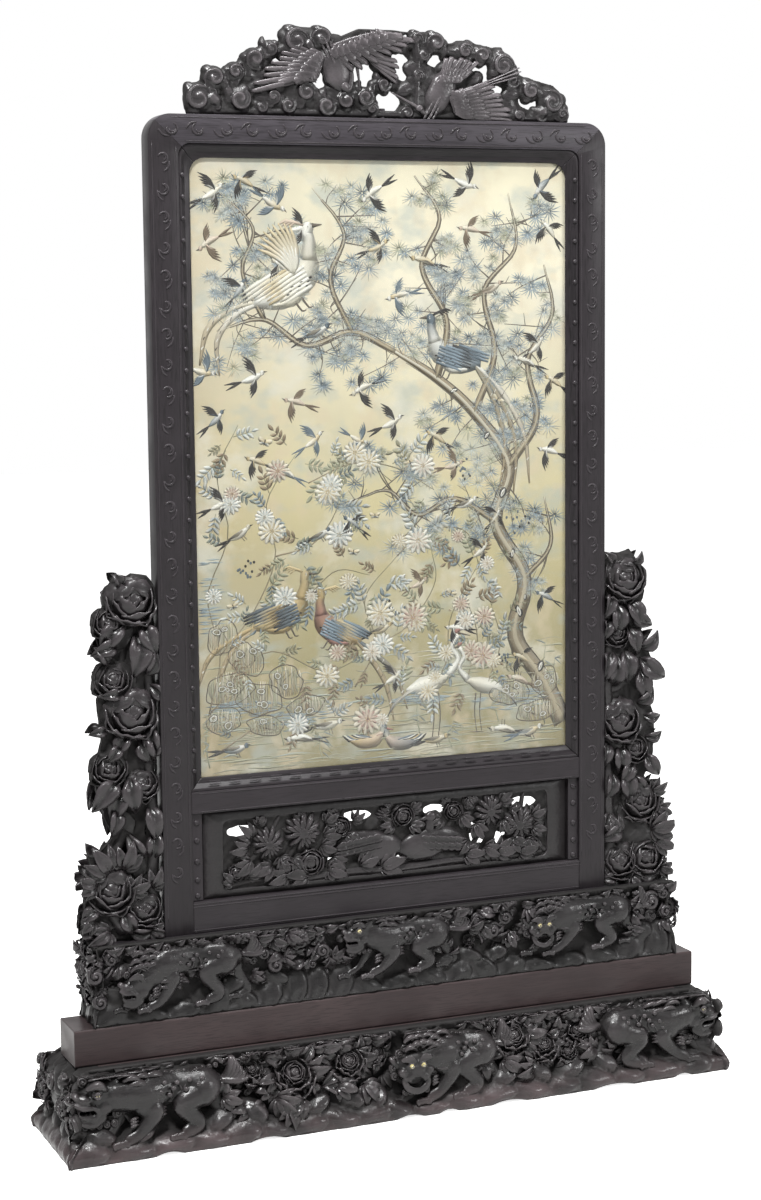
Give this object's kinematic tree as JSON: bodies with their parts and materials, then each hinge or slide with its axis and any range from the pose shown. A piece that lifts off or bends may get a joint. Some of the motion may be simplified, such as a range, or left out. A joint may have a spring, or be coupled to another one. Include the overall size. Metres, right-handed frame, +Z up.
{
  "type": "carved floor screen",
  "caption": "Free-standing carved hardwood floor screen: a framed, glazed silk picture with a pierced crest, lowered into a two-tier carved stand with side wings.",
  "frame": {"origin": "on the floor under the middle of the base", "axes": "+X along the screen's width to the viewer's right, -Y out of the front, +Z up"},
  "size_m": [1.226, 0.2459, 1.8292],
  "materials": {
    "carved_hardwood": "dark polished",
    "plain_hardwood": "dark polished",
    "inner_softwood": "unfinished",
    "clear_glass": "clear",
    "embroidered_silk": "satin silk",
    "eye_glass": "glossy"
  },
  "bodies": {
    "stand": {"base_back_carving": "carved_hardwood", "base_back_left_glue_block": "inner_softwood", "base_back_right_glue_block": "inner_softwood", "base_eye_1": "eye_glass", "base_eye_2": "eye_glass", "base_eye_3": "eye_glass", "base_eye_4": "eye_glass", "base_front_carving": "carved_hardwood", "base_front_left_glue_block": "inner_softwood", "base_front_right_glue_block": "inner_softwood", "base_left_carving": "carved_hardwood", "base_right_carving": "carved_hardwood", "base_top_board": "plain_hardwood", "left_wing": "carved_hardwood", "plinth_back_carving": "carved_hardwood", "plinth_core_beam": "inner_softwood", "plinth_eye_1": "eye_glass", "plinth_eye_2": "eye_glass", "plinth_eye_3": "eye_glass", "plinth_front_carving": "carved_hardwood", "plinth_left_carving": "carved_hardwood", "plinth_right_carving": "carved_hardwood", "right_wing": "carved_hardwood", "waist_beam": "plain_hardwood"},
    "screen": {"apron_muntin_left": "carved_hardwood", "apron_muntin_right": "carved_hardwood", "apron_panel": "carved_hardwood", "back_panel": "inner_softwood", "back_strip_bottom": "inner_softwood", "back_strip_left": "inner_softwood", "back_strip_right": "inner_softwood", "back_strip_top": "inner_softwood", "bottom_rail": "carved_hardwood", "crest_carving": "carved_hardwood", "crest_dowel_left": "inner_softwood", "crest_dowel_middle": "inner_softwood", "crest_dowel_right": "inner_softwood", "glass_pane": "clear_glass", "left_stile": "carved_hardwood", "middle_rail": "carved_hardwood", "moulding_bottom": "carved_hardwood", "moulding_left": "carved_hardwood", "moulding_right": "carved_hardwood", "moulding_top": "carved_hardwood", "right_stile": "carved_hardwood", "silk_mount_board": "inner_softwood", "silk_picture": "embroidered_silk", "top_rail": "carved_hardwood"}
  },
  "joints": [
    {"name": "screen_lift", "type": "slide", "parent": "stand", "child": "screen", "axis": [0, 0, 1], "range_m": [0, 0.08]}
  ]
}
